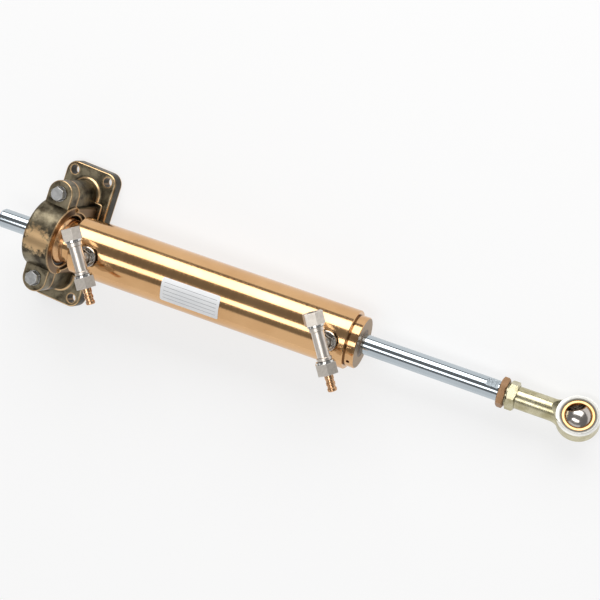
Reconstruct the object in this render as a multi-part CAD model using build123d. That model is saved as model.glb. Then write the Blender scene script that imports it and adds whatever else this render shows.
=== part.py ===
from build123d import *
import math
import os

# Hydraulic steering cylinder: a bronze barrel held by a ball joint in a cast
# bronze foot bracket, with a through rod, a rod end and two tee fittings.
# Millimetres. Z is up, X points from the bracket towards the rod end, and the
# origin is the middle of the bracket's four bolt holes, on its underside.

# Foot bracket
PLATE_LENGTH_Y, PLATE_WIDTH_X, PLATE_THICK = 148.0, 60.0, 14.0
PLATE_CORNER_R, PLATE_EDGE_R = 12.0, 2.5
HOLE_SPACING_X, HOLE_SPACING_Y, HOLE_R = 40.0, 129.0, 5.0
AXIS_HEIGHT = 54.0
RING_R, RING_HALF_WIDTH, RING_EDGE_R = 36.5, 16.0, 3.0
BLOCK_FACE_X, BLOCK_HALF_Y, BLOCK_DRAFT, BLOCK_CORNER_R = 18.0, 35.5, 3.0, 2.5
BLOCK_SPOT_R = 31.0
PAD_HALF_X, PAD_HALF_Y, PAD_RISE = 24.0, 41.0, 3.0
EAR_HALF_WIDTH, EAR_THICK, EAR_EDGE_R = 14.0, 15.0, 1.5
POST_FOOT_R = 5.0
CLAMP_BOLT_Y = 45.5
PARTING_GAP = 0.5
SEAT_R, SEAT_MOUTH_CHAMFER = 31.05, 1.0

# Clamp bolts, M8, and their washers
BOLT_R, BOLT_HEAD_AF, BOLT_HEAD_HEIGHT, BOLT_LENGTH, BOLT_TURN = 4.0, 13.0, 5.4, 36.0, 12.0
WASHER_R, WASHER_THICK = 7.8, 1.6

# Ball joint: a liner in the clamp's seat round a split ball on the gland's neck.
# The collar runs from the ball to the tube, half of it on the ball.
LINER_R, LINER_BORE_R, LINER_HALF_WIDTH = 31.0, 28.55, 12.5
BALL_R, BALL_HALF_WIDTH, COLLAR_R = 28.5, 21.1, 22.7
SEAM_GAP = 0.5
NECK_R, NECK_END = 17.0, -25.5
SNAP_RING_X, SNAP_RING_THICK, SNAP_RING_DEPTH = -22.9, 1.6, 1.1

# Attitude of the barrel at rest, in degrees: swung to one side, with the rod
# end resting low, and turned a little about its own axis
REST_SWIVEL, REST_DROOP, REST_ROLL = 2.76, 3.6, 5.8

# Barrel and glands, along the barrel's own axis from the ball's centre
TUBE_START, TUBE_LENGTH = 31.0, 301.0
TUBE_R, BORE_R, TUBE_EDGE = 30.0, 22.5, 0.8
TUBE_END = TUBE_START + TUBE_LENGTH
THREAD_R, THREAD_LENGTH = 26.0, 7.0
SEAL_BORE_R, SEAL_BORE_LENGTH = 24.0, 5.0
GLAND_R, GLAND_FLANGE, GLAND_EDGE = 26.0, 10.0, 0.8
RELIEF_R, RELIEF_WIDTH = 25.0, 1.2
NOSE_R, NOSE_LENGTH = 20.5, 22.0
SPANNER_HOLE_R, SPANNER_HOLE_DEPTH, SPANNER_HOLE_ANGLE = 1.9, 4.5, 38.4
ROD_PASSAGE_R, BUSH_R, ROD_SEAL_R, ROD_SEAL_WIDTH = 10.5, 12.0, 14.0, 5.8

# Rod, piston and stroke
ROD_R, ROD_START, ROD_SHOULDER = 10.0, -61.0, 483.0
ROD_THREAD_R, ROD_THREAD_LENGTH = 8.0, 32.0
ROD_FLAT_X, ROD_FLAT_ACROSS, ROD_FLAT_LENGTH, ROD_FLAT_ANGLE = 475.5, 18.3, 12.0, -44.0
PISTON_X, PISTON_LENGTH, PISTON_R = 207.0, 22.0, 22.44
RUNNING_GAP = 0.04

# Rod end and lock nut. The ball lies loose in its race, its bore tilted from the
# eye's axis and turned round it.
LOCK_NUT_AF, LOCK_NUT_THICK, LOCK_NUT_TURN = 27.0, 7.0, -20.0
END_FACE_X, END_SPIGOT_R = 490.0, 10.8
END_HEX_START, END_HEX_LENGTH, END_HEX_AF, END_HEX_TURN = 491.5, 9.0, 25.5, 10.0
END_SHANK_R, END_FLARE_R = 11.0, 16.0
EYE_X, EYE_R, EYE_WIDTH = 561.0, 21.0, 15.0
EYE_CHAMFER, EYE_CUTTER_SLOPE = 2.4, 1.43
RACE_R, RACE_WIDTH = 15.7, 14.0
EYE_BALL_R, EYE_BALL_WIDTH, EYE_BORE_R = 14.3, 21.0, 8.0
EYE_ROLL = -35.4
EYE_BALL_TILT, EYE_BALL_TURN = 49.0, 124.0

# Tee fittings
PORT_X = (53.0, 314.0)
PORT_R, SPOT_FACE_R, SPOT_FACE_FLOOR = 4.85, 12.0, 28.4
TEE_HEIGHT, TEE_TURN = 48.7, 30.4
TEE_RUN_R, TEE_COLLAR_R, TEE_SPIGOT_R = 6.25, 7.5, 6.9
TUBE_SOCKET_R, FLOW_R, BRANCH_FLOW_R = 4.8, 3.0, 2.5
TUBE_NUT_AF, TUBE_NUT_BAND_R, TUBE_NUT_TURNS = 18.5, 8.6, (0.0, 2.0)
BLEED_NUT_AF, BLEED_NUT_BAND_R, BLEED_NUT_TURNS = 19.5, 9.1, (-3.0, -9.0)
TEE_WASHER_R, TEE_LOCK_NUT_AF, TEE_LOCK_NUT_TURN = 10.3, 15.0, 12.0
BLEED_SHAFT_R, BLEED_NIPPLE_R, BLEED_BORE_R = 3.5, 4.5, 1.1

# Label on the barrel
LABEL_START, LABEL_LENGTH, LABEL_WIDTH, LABEL_THICK = 136.5, 63.5, 26.2, 0.15
LABEL_CORNER_R, LABEL_ANGLE = 2.2, 13.5

ball_centre = Pos(0, 0, AXIS_HEIGHT)
swivel_frame = ball_centre * Rot(Z=REST_SWIVEL)
tilt_frame = swivel_frame * Rot(Y=REST_DROOP)
barrel_frame = tilt_frame * Rot(X=REST_ROLL)
rod_frame = tilt_frame
rod_end_frame = tilt_frame * Rot(X=EYE_ROLL)
upright = Rot(Y=-90)


def turned(points):
    """Solid turned about the X axis from its half section of (x, radius) points."""
    return revolve(make_face(Polyline(*points, close=True)), Axis.X)


def ring_x(x, length, outer, inner):
    """Plain ring about X, from x to x + length."""
    return turned([(x, inner), (x + length, inner), (x + length, outer), (x, outer)])


def bar_x(x, length, radius):
    """Round bar along X, from x to x + length."""
    return Pos(x + length / 2) * Rot(Y=90) * Cylinder(radius, length)


def o_ring(x, centre_r, section_r):
    """Rubber ring about X, its round section drawn with eight flats."""
    return revolve(Pos(x, centre_r) * RegularPolygon(section_r, 8), Axis.X)


def hex_x(x, length, across_flats, turn=0, first_end=True, corner_cut=None):
    """Hexagon bar along X with turned chamfers on its ends, which take corner_cut off
    its corners, or else reach its flats. At no turn a flat faces Z. Without
    first_end, the end at x stays square."""
    corner_r = across_flats / math.sqrt(3)
    bar = Pos(x) * Rot(Y=90) * extrude(RegularPolygon(corner_r, 6, rotation=30 + turn), length)
    chamfer_r = corner_r - corner_cut if corner_cut else across_flats / 2 * 0.97
    rise = (corner_r - chamfer_r) * math.tan(math.radians(30))
    outline = [(x, 0), (x, chamfer_r), (x + rise, corner_r)]
    if not first_end:
        outline = [(x, 0), (x, corner_r)]
    outline += [(x + length - rise, corner_r), (x + length, chamfer_r), (x + length, 0)]
    return bar & turned(outline)


def sphere_slice(radius, half_width, bore):
    """Ball about the origin, cut square at both ends of X, with a bore along X."""
    rim = math.sqrt(radius**2 - half_width**2)
    crown = ThreePointArc((-half_width, rim), (0, radius), (half_width, rim))
    sides = Polyline((half_width, rim), (half_width, bore), (-half_width, bore), (-half_width, rim))
    return revolve(make_face([*crown.edges(), *sides.edges()]), Axis.X)


def spherical_socket(radius, half_width, chamfer_size):
    """Cutter for a ball's seat right through a ring, eased at both of its mouths."""
    reach = half_width + 1
    mouth = math.sqrt(radius**2 - half_width**2) + chamfer_size
    ease = half_width - chamfer_size
    rim = math.sqrt(radius**2 - ease**2)
    crown = ThreePointArc((-ease, rim), (0, radius), (ease, rim))
    sides = Polyline((ease, rim), (half_width, mouth), (reach, mouth), (reach, 0), (-reach, 0),
                     (-reach, mouth), (-half_width, mouth), (-ease, rim))
    return revolve(make_face([*crown.edges(), *sides.edges()]), Axis.X)


def post_outline():
    """Plan of both bolt posts and ears: one long slot across the ring."""
    return SlotOverall(2 * (CLAMP_BOLT_Y + EAR_HALF_WIDTH), 2 * EAR_HALF_WIDTH, rotation=90)


def above(height):
    """Everything above a height, as a cutter."""
    return Pos(0, 0, height + 100) * Box(400, 400, 200)


def clamp_ring():
    """Whole ring of the clamp, rounded on its rear edge and machined on its front."""
    ring = bar_x(-RING_HALF_WIDTH, 2 * RING_HALF_WIDTH, RING_R)
    rear, front = ring.edges().filter_by(GeomType.CIRCLE).sort_by(Axis.X)
    ring = fillet(rear, RING_EDGE_R)
    front = ring.edges().filter_by(GeomType.CIRCLE).sort_by(Axis.X)[-1]
    return ball_centre * chamfer(front, 0.5)


def bracket_base():
    """Plate with four holes, two bolt posts, and the block that holds the lower half
    of the seat."""
    plate = extrude(RectangleRounded(PLATE_WIDTH_X, PLATE_LENGTH_Y, PLATE_CORNER_R), PLATE_THICK)
    plate = fillet(plate.edges().group_by(Axis.Z)[-1], PLATE_EDGE_R)
    rise = AXIS_HEIGHT - PLATE_THICK
    base = plate + Pos(0, 0, PLATE_THICK) * extrude(post_outline(), rise)
    feet = [e for e in base.edges() if abs(e.center().Z - PLATE_THICK) < 0.01
            and abs(e.center().X) < PAD_HALF_X and e.length > 2 * EAR_HALF_WIDTH]
    base = fillet(feet, POST_FOOT_R)

    spread = rise * math.tan(math.radians(BLOCK_DRAFT))
    block_length = RING_HALF_WIDTH + BLOCK_FACE_X
    block_plan = RectangleRounded(block_length + 2 * spread, 2 * (BLOCK_HALF_Y + spread), BLOCK_CORNER_R + spread)
    block = extrude(block_plan, rise, taper=BLOCK_DRAFT)
    base += Pos((BLOCK_FACE_X - RING_HALF_WIDTH) / 2, 0, PLATE_THICK) * block
    pad = extrude(RectangleRounded(2 * PAD_HALF_X, 2 * PAD_HALF_Y, BLOCK_CORNER_R + 1), PAD_RISE)
    base += Pos(0, 0, PLATE_THICK) * fillet(pad.edges().group_by(Axis.Z)[-1], PAD_RISE / 2)

    for x in (-RING_HALF_WIDTH - 20, RING_HALF_WIDTH):
        base -= ball_centre * bar_x(x, 20, BLOCK_SPOT_R)
    base -= above(AXIS_HEIGHT - PARTING_GAP / 2)
    base -= ball_centre * spherical_socket(SEAT_R, RING_HALF_WIDTH, SEAT_MOUTH_CHAMFER)
    for x in (-HOLE_SPACING_X / 2, HOLE_SPACING_X / 2):
        for y in (-HOLE_SPACING_Y / 2, HOLE_SPACING_Y / 2):
            base -= Pos(x, y, PLATE_THICK / 2) * Cylinder(HOLE_R, PLATE_THICK)
    tapped = BOLT_LENGTH - EAR_THICK - WASHER_THICK + 3
    for y in (-CLAMP_BOLT_Y, CLAMP_BOLT_Y):
        base -= Pos(0, y, AXIS_HEIGHT - tapped / 2) * Cylinder(BOLT_R, tapped)
    return base


def bracket_cap():
    """Upper half of the ring, with an ear for a bolt on each side."""
    ears = Pos(0, 0, AXIS_HEIGHT) * extrude(post_outline(), EAR_THICK)
    ears = fillet(ears.edges().group_by(Axis.Z)[-1], EAR_EDGE_R)
    cap = (ears + clamp_ring()) & above(AXIS_HEIGHT + PARTING_GAP / 2)
    cap -= ball_centre * spherical_socket(SEAT_R, RING_HALF_WIDTH, SEAT_MOUTH_CHAMFER)
    for y in (-CLAMP_BOLT_Y, CLAMP_BOLT_Y):
        cap -= Pos(0, y, AXIS_HEIGHT + EAR_THICK / 2) * Cylinder(BOLT_R + 0.5, EAR_THICK + 2)
    return cap


def clamp_fasteners():
    """Two hexagon bolts and two plain washers, on the ears of the cap."""
    ear_top = AXIS_HEIGHT + EAR_THICK
    bolt = hex_x(0, BOLT_HEAD_HEIGHT, BOLT_HEAD_AF, BOLT_TURN, first_end=False)
    bolt += bar_x(-BOLT_LENGTH, BOLT_LENGTH, BOLT_R)
    washer = ring_x(0, WASHER_THICK, WASHER_R, BOLT_R + 0.2)
    bolts = [Pos(0, y, ear_top + WASHER_THICK) * upright * bolt for y in (-CLAMP_BOLT_Y, CLAMP_BOLT_Y)]
    washers = [Pos(0, y, ear_top) * upright * washer for y in (-CLAMP_BOLT_Y, CLAMP_BOLT_Y)]
    return bolts, washers


def seat_liner():
    """Shell between the clamp and the ball, in an upper and a lower half."""
    shell = sphere_slice(LINER_R, LINER_HALF_WIDTH, 0.5) - sphere_slice(LINER_BORE_R, LINER_HALF_WIDTH + 5, 0.1)
    shell -= bar_x(-20, 40, 1)
    halves = [shell & above(SEAM_GAP / 2), shell - above(-SEAM_GAP / 2)]
    return [swivel_frame * half for half in halves]


def ball_sleeve():
    """Ball round the gland's neck, split lengthwise into two halves."""
    sleeve = sphere_slice(BALL_R, BALL_HALF_WIDTH, NECK_R + RUNNING_GAP)
    sleeve += ring_x(17, BALL_HALF_WIDTH - 17, COLLAR_R, NECK_R + RUNNING_GAP)
    half_space = Pos(0, 50 + SEAM_GAP / 2) * Box(200, 100, 200)
    return [tilt_frame * (sleeve & half_space), tilt_frame * (sleeve & mirror(half_space, Plane.XZ))]


def barrel_tube():
    """Tube with threaded ends, seal bores, and a spot-faced port near each end."""
    thread_in, thread_out = TUBE_START + THREAD_LENGTH, TUBE_END - THREAD_LENGTH
    bore_in, bore_out = thread_in + SEAL_BORE_LENGTH, thread_out - SEAL_BORE_LENGTH
    tube = turned([
        (TUBE_START, THREAD_R), (TUBE_START, TUBE_R - TUBE_EDGE), (TUBE_START + TUBE_EDGE, TUBE_R),
        (TUBE_END - TUBE_EDGE, TUBE_R), (TUBE_END, TUBE_R - TUBE_EDGE), (TUBE_END, THREAD_R),
        (thread_out, THREAD_R), (thread_out, SEAL_BORE_R), (bore_out, SEAL_BORE_R), (bore_out, BORE_R),
        (bore_in, BORE_R), (bore_in, SEAL_BORE_R), (thread_in, SEAL_BORE_R), (thread_in, THREAD_R),
    ])
    for x in PORT_X:
        tube -= Pos(x, 0, TUBE_R) * Cylinder(PORT_R, 2 * (TUBE_R - BORE_R + 1))
        tube -= Pos(x, 0, SPOT_FACE_FLOOR + 5) * Cylinder(SPOT_FACE_R, 10)
    return barrel_frame * tube


def gland_outside(tube_face, side):
    """Outside of a gland from its nose to the tube's face, as (x, radius) points. side
    is -1 at the rear and 1 at the front, which is outwards from that face."""
    thread_end = tube_face - side * THREAD_LENGTH
    land_end = thread_end - side * (SEAL_BORE_LENGTH - 0.5)
    nose_end = tube_face - side * NOSE_LENGTH
    groove_near, groove_far = thread_end - side * 0.7, thread_end - side * 3.9
    groove_floor = SEAL_BORE_R - 2.4
    return [
        (nose_end, BUSH_R), (nose_end, NOSE_R), (land_end, NOSE_R), (land_end, SEAL_BORE_R),
        (groove_far, SEAL_BORE_R), (groove_far, groove_floor), (groove_near, groove_floor),
        (groove_near, SEAL_BORE_R), (thread_end, SEAL_BORE_R), (thread_end, THREAD_R), (tube_face, THREAD_R),
    ]


def spanner_holes(x, rim_r, angle):
    """Two opposite pin holes for a hook spanner, in a gland's rim."""
    hole = Pos(x, 0, rim_r) * Cylinder(SPANNER_HOLE_R, 2 * SPANNER_HOLE_DEPTH)
    return [Rot(X=angle) * hole, Rot(X=angle + 180) * hole]


def gland_rings(bush_start, bush_end, seal_start, o_ring_x):
    """Bush and rod seal in a gland's bore, and the ring that seals it in the tube."""
    bush = ring_x(bush_start, bush_end - bush_start, BUSH_R, ROD_R + RUNNING_GAP)
    seal = ring_x(seal_start, ROD_SEAL_WIDTH, ROD_SEAL_R, ROD_R + RUNNING_GAP / 2)
    return bush, seal, o_ring(o_ring_x, SEAL_BORE_R - 1.2, 1.19)


def front_gland():
    """Screwed gland at the rod end's side, with its bush, rod seal and wiper."""
    face, flange = TUBE_END + GLAND_FLANGE, TUBE_END + RELIEF_WIDTH
    outline = gland_outside(TUBE_END, 1)
    outline += [(TUBE_END, RELIEF_R), (flange, RELIEF_R), (flange, GLAND_R - 0.4), (flange + 0.4, GLAND_R)]
    outline += [(face - GLAND_EDGE, GLAND_R), (face, GLAND_R - GLAND_EDGE), (face, ROD_SEAL_R)]
    outline += [(face - 4, ROD_SEAL_R), (face - 4, ROD_PASSAGE_R), (face - 5, ROD_PASSAGE_R)]
    outline += [(face - 5, ROD_SEAL_R), (face - 11, ROD_SEAL_R), (face - 11, ROD_PASSAGE_R)]
    outline += [(face - 13, ROD_PASSAGE_R), (face - 13, BUSH_R)]
    gland = turned(outline)
    gland -= spanner_holes(face - GLAND_FLANGE / 2, GLAND_R, SPANNER_HOLE_ANGLE)
    bush, seal, ring = gland_rings(TUBE_END - NOSE_LENGTH, face - 13, face - 10.9, TUBE_END - THREAD_LENGTH - 2.3)
    lip = ROD_R + RUNNING_GAP / 2
    wiper = turned([(face - 3.9, ROD_R + 0.6), (face - 3.9, ROD_SEAL_R), (face - 0.2, ROD_SEAL_R),
                    (face - 0.2, 12.6), (face + 0.9, 11.0), (face + 0.9, lip), (face - 1.5, lip)])
    return [barrel_frame * piece for piece in (gland, bush, seal, wiper, ring)]


def rear_gland():
    """Screwed gland in one piece with the hollow neck that carries the ball, with
    its bush, rod seal and wiper, and the snap ring that holds the ball."""
    collar = TUBE_START - GLAND_FLANGE + 0.2
    groove_end, groove_r = SNAP_RING_X + SNAP_RING_THICK, NECK_R - SNAP_RING_DEPTH
    outline = gland_outside(TUBE_START, -1)
    outline += [(TUBE_START, COLLAR_R), (collar + 0.3, COLLAR_R), (collar, COLLAR_R - 0.3), (collar, NECK_R)]
    outline += [(groove_end, NECK_R)]
    outline += [(groove_end, groove_r), (SNAP_RING_X, groove_r), (SNAP_RING_X, NECK_R), (NECK_END + 1, NECK_R)]
    outline += [(NECK_END, NECK_R - 1), (NECK_END, ROD_PASSAGE_R), (33, ROD_PASSAGE_R), (33, 13), (36, 13)]
    outline += [(36, ROD_PASSAGE_R), (36.8, ROD_PASSAGE_R), (36.8, ROD_SEAL_R), (42.8, ROD_SEAL_R)]
    outline += [(42.8, ROD_PASSAGE_R), (44, ROD_PASSAGE_R), (44, BUSH_R)]
    gland = turned(outline)
    gland -= spanner_holes(collar + GLAND_FLANGE / 2, COLLAR_R, 100)
    bush, seal, ring = gland_rings(44, TUBE_START + NOSE_LENGTH + 5, 36.9, TUBE_START + THREAD_LENGTH + 2.3)
    wiper = turned([(33.1, ROD_R + RUNNING_GAP / 2), (35.9, ROD_R + 0.4), (35.9, 13), (33.1, 13)])
    snap_ring = ring_x(SNAP_RING_X, SNAP_RING_THICK, NECK_R + 2.2, groove_r)
    snap_ring -= Pos(SNAP_RING_X, 0, -NECK_R) * Box(20, 9, 12)
    return [barrel_frame * piece for piece in (gland, bush, seal, wiper, ring, snap_ring)]


def snap_ring_places():
    """Where the rod's two snap rings start, one recessed in each end of the piston."""
    return PISTON_X - PISTON_LENGTH / 2 + 0.4, PISTON_X + PISTON_LENGTH / 2 - 2.0


def through_rod():
    """Rod through both glands: bevelled tail, snap ring grooves, spanner flats and
    the thread for the rod end."""
    outline = [(ROD_START, 0), (ROD_START, ROD_R - 1.4), (ROD_START + 2.4, ROD_R)]
    for x in snap_ring_places():
        outline += [(x, ROD_R), (x, ROD_R - 0.8), (x + 1.6, ROD_R - 0.8), (x + 1.6, ROD_R)]
    thread_end = ROD_SHOULDER + ROD_THREAD_LENGTH
    outline += [(ROD_SHOULDER - 0.6, ROD_R), (ROD_SHOULDER, ROD_R - 0.6), (ROD_SHOULDER, ROD_THREAD_R)]
    outline += [(thread_end - 1, ROD_THREAD_R), (thread_end, ROD_THREAD_R - 1), (thread_end, 0)]
    rod = turned(outline)
    flat = extrude(RectangleRounded(ROD_FLAT_LENGTH, 2 * ROD_R, 3), 5)
    for side in (0, 180):
        rod -= Rot(X=ROD_FLAT_ANGLE + side) * Pos(ROD_FLAT_X, 0, ROD_FLAT_ACROSS / 2) * flat
    return rod_frame * rod


def piston_on_rod():
    """Piston with its grooves, its inner ring, and the two snap rings that hold it."""
    start, end = PISTON_X - PISTON_LENGTH / 2, PISTON_X + PISTON_LENGTH / 2
    outline = [(start, 13), (start, PISTON_R - 0.6), (start + 0.6, PISTON_R)]
    for x, width, floor in ((start + 2, 4.1, 20.0), (PISTON_X - 3.2, 6.4, 18.5), (end - 6.1, 4.1, 20.0)):
        outline += [(x, PISTON_R), (x, floor), (x + width, floor), (x + width, PISTON_R)]
    outline += [(end - 0.6, PISTON_R), (end, PISTON_R - 0.6), (end, 13), (end - 2, 13), (end - 2, ROD_R)]
    outline += [(PISTON_X + 1.5, ROD_R), (PISTON_X + 1.5, 11.9), (PISTON_X - 1.5, 11.9), (PISTON_X - 1.5, ROD_R)]
    outline += [(start + 2, ROD_R), (start + 2, 13)]
    snap_rings = []
    for x in snap_ring_places():
        snap_ring = ring_x(x, 1.6, 12.6, ROD_R - 0.8)
        snap_rings.append(rod_frame * (snap_ring - Pos(x, 0, -ROD_R) * Box(12, 6, 8)))
    return rod_frame * turned(outline), rod_frame * o_ring(PISTON_X, 10.95, 0.92), snap_rings


def piston_rings():
    """What runs on the bore: the seal, the ring that presses it out, and two split
    guide rings."""
    seal = ring_x(PISTON_X - 3.1, 6.2, BORE_R - 0.03, 20.3)
    energiser = o_ring(PISTON_X, 19.4, 0.85)
    guides = []
    for x in (PISTON_X - PISTON_LENGTH / 2 + 2.1, PISTON_X + PISTON_LENGTH / 2 - 6.0):
        guide = ring_x(x, 3.9, BORE_R - RUNNING_GAP, 20.0 + RUNNING_GAP)
        guides.append(rod_frame * (guide - Pos(x, 0, -BORE_R) * Box(12, 1.5, 8)))
    return rod_frame * seal, rod_frame * energiser, guides


def rod_end_blank():
    """Forging of the rod end: hexagon, round shank flaring into the eye, and the eye
    with its two machined faces."""
    offset = math.sqrt((EYE_R - END_SHANK_R) * (EYE_R + END_SHANK_R + 2 * END_FLARE_R))
    flare_x = EYE_X - offset
    flare_centre_r = END_SHANK_R + END_FLARE_R
    share = EYE_R / (EYE_R + END_FLARE_R)
    meet = (EYE_X - offset * share, flare_centre_r * share)
    middle_turn = math.radians(-90) + math.atan2(offset, flare_centre_r) / 2
    middle = (flare_x + END_FLARE_R * math.cos(middle_turn), flare_centre_r + END_FLARE_R * math.sin(middle_turn))
    start = END_HEX_START + END_HEX_LENGTH / 2
    flare = ThreePointArc((flare_x, END_SHANK_R), middle, meet)
    sides = Polyline(meet, (EYE_X, meet[1]), (EYE_X, 0), (start, 0), (start, END_SHANK_R), (flare_x, END_SHANK_R))
    shank = revolve(make_face([*flare.edges(), *sides.edges()]), Axis.X)

    half = EYE_WIDTH / 2
    reach = EYE_R * 2
    above_face = turned([(half, 0), (half, EYE_R), (half + reach / EYE_CUTTER_SLOPE, EYE_R + reach),
                         (half + reach / EYE_CUTTER_SLOPE, 0)])
    cutter = Pos(EYE_X) * upright * above_face
    shank = shank - cutter - mirror(cutter, Plane.XY)
    eye = Pos(EYE_X) * upright * turned([
        (-half, 0), (-half, EYE_R - EYE_CHAMFER), (-half + EYE_CHAMFER / 2, EYE_R),
        (half - EYE_CHAMFER / 2, EYE_R), (half, EYE_R - EYE_CHAMFER), (half, 0),
    ])
    spigot = bar_x(END_FACE_X, END_HEX_START - END_FACE_X + 1, END_SPIGOT_R)
    return shank + eye + spigot + hex_x(END_HEX_START, END_HEX_LENGTH, END_HEX_AF, END_HEX_TURN)


def rod_end():
    """Lock nut, rod end body, the race pressed into it, and the ball in the race."""
    nut = hex_x(ROD_SHOULDER, LOCK_NUT_THICK, LOCK_NUT_AF, LOCK_NUT_TURN)
    nut -= bar_x(ROD_SHOULDER - 1, 20, ROD_THREAD_R)
    thread_end = ROD_SHOULDER + ROD_THREAD_LENGTH + 2
    body = rod_end_blank() - Pos(EYE_X) * Cylinder(RACE_R, EYE_WIDTH + 1)
    body -= turned([(END_FACE_X - 1, 0), (END_FACE_X - 1, ROD_THREAD_R), (thread_end, ROD_THREAD_R),
                    (thread_end + 4, 0)])
    half = RACE_WIDTH / 2
    race = turned([(-half, 1), (-half, RACE_R), (half, RACE_R), (half, 1)])
    race -= sphere_slice(EYE_BALL_R + 0.05, half + 3, 0.5)
    eye_ball = sphere_slice(EYE_BALL_R, EYE_BALL_WIDTH / 2, EYE_BORE_R)
    eye_ball = Rot(Z=EYE_BALL_TURN) * Rot(Y=EYE_BALL_TILT) * upright * eye_ball
    pieces = (nut, body, Pos(EYE_X) * upright * race, Pos(EYE_X) * eye_ball)
    return [rod_end_frame * piece for piece in pieces]


def tee_body():
    """Tee with its run along X, its branch down, and a turned spigot on each end."""
    run = turned([
        (-24, TUBE_SOCKET_R), (-24, TEE_SPIGOT_R), (-15.5, TEE_SPIGOT_R), (-15.5, TEE_COLLAR_R - 0.3),
        (-15.2, TEE_COLLAR_R), (-12.6, TEE_COLLAR_R), (-12, TEE_RUN_R), (13.2, TEE_RUN_R),
        (13.8, TEE_COLLAR_R), (17.2, TEE_COLLAR_R), (17.5, TEE_COLLAR_R - 0.3), (17.5, TEE_SPIGOT_R),
        (26, TEE_SPIGOT_R), (26, TUBE_SOCKET_R), (17, TUBE_SOCKET_R), (17, FLOW_R), (-20, FLOW_R),
    ])
    stub = TEE_HEIGHT - 24
    branch = Pos(0, 0, -stub / 2) * Cylinder(PORT_R, stub) - bar_x(-20, 40, FLOW_R)
    return run + branch - Pos(0, 0, -stub / 2) * Cylinder(BRANCH_FLOW_R, stub + 2)


def bleed_screw():
    """Bleeder screw with a ribbed nipple and a cone that closes the end of the run."""
    shaft, nipple, bore = BLEED_SHAFT_R - 0.05, BLEED_NIPPLE_R, BLEED_BORE_R
    screw = turned([
        (-46.2, bore), (-46.2, 3.8), (-45.4, 4.6), (-43.2, 4.7), (-42.4, 4), (-40.2, 4), (-39.6, nipple),
        (-37.4, nipple), (-36.8, 4), (-34.6, 4), (-34, nipple), (-29.4, nipple), (-29.4, shaft),
        (-21.2, shaft), (-20, 2.8), (-18.5, 1), (-18.5, 0), (-22.5, 0), (-22.5, bore),
    ])
    return screw - Pos(-22.7) * Cylinder(0.8, 10)


def tee_nuts(tube_nut_turn, bleed_nut_turn):
    """The nut on each end of the tee's run, with a turned band towards the tee."""
    tube_nut = hex_x(20, 12, TUBE_NUT_AF, tube_nut_turn, corner_cut=0.4)
    tube_nut += turned([
        (17.8, 0), (17.8, TUBE_NUT_BAND_R - 0.2), (18, TUBE_NUT_BAND_R), (21, TUBE_NUT_BAND_R), (21, 0),
    ])
    tube_nut -= turned([
        (17, 0), (17, TEE_SPIGOT_R), (26.2, TEE_SPIGOT_R), (29.4, 6), (29.4, TUBE_SOCKET_R),
        (33, TUBE_SOCKET_R), (33, 0),
    ])
    bleed_nut = hex_x(-29.2, 11.3, BLEED_NUT_AF, bleed_nut_turn, corner_cut=0.4)
    bleed_nut += turned([
        (-19, 0), (-19, BLEED_NUT_BAND_R), (-16, BLEED_NUT_BAND_R), (-15.8, BLEED_NUT_BAND_R - 0.2), (-15.8, 0),
    ])
    bleed_nut -= turned([
        (-30, 0), (-30, BLEED_SHAFT_R), (-24.2, BLEED_SHAFT_R), (-24.2, TEE_SPIGOT_R),
        (-15, TEE_SPIGOT_R), (-15, 0),
    ])
    return tube_nut, bleed_nut


def tee_fitting(port_x, tube_nut_turn, bleed_nut_turn):
    """One tee with its seal, washer, nuts and bleeder. It is laid out with its run
    along X and its branch down, then turned on the port."""
    down = Pos(0, 0, -TEE_HEIGHT) * upright
    seal_r = TEE_WASHER_R - 0.5
    seal = down * turned([
        (SPOT_FACE_FLOOR, PORT_R), (SPOT_FACE_FLOOR, seal_r - 0.5), (29, seal_r), (31, seal_r), (31, PORT_R),
    ])
    washer = down * turned([
        (31, PORT_R), (31, TEE_WASHER_R), (32.6, TEE_WASHER_R), (33, TEE_WASHER_R - 0.4), (33, PORT_R),
    ])
    lock_nut = down * (hex_x(33, 5, TEE_LOCK_NUT_AF, TEE_LOCK_NUT_TURN) - bar_x(32, 8, PORT_R))
    tube_nut, bleed_nut = tee_nuts(tube_nut_turn, bleed_nut_turn)
    olive = turned([(26.1, TUBE_SOCKET_R), (26.1, 6.2), (27, 6.4), (29.3, 5.9), (29.3, TUBE_SOCKET_R)])
    place = barrel_frame * Pos(port_x, 0, TEE_HEIGHT) * Rot(Z=90 + TEE_TURN)
    pieces = (tee_body(), seal, washer, lock_nut, tube_nut, olive, bleed_nut, bleed_screw())
    return [place * piece for piece in pieces]


def barrel_label():
    """Thin foil label wrapped on the barrel."""
    shell = ring_x(LABEL_START - 1, LABEL_LENGTH + 2, TUBE_R + LABEL_THICK, TUBE_R)
    outline = RectangleRounded(LABEL_LENGTH, LABEL_WIDTH, LABEL_CORNER_R)
    stamp = Rot(X=LABEL_ANGLE) * Pos(LABEL_START + LABEL_LENGTH / 2) * extrude(outline, 2 * TUBE_R)
    return barrel_frame * (shell & stamp)


def write(name, *solids):
    """Writes one node, made of one or more separate solids."""
    found = [solid for shape in solids for solid in shape.solids()]
    export_step(found[0] if len(found) == 1 else Compound(children=found), f"parts/{name}.step")


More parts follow.
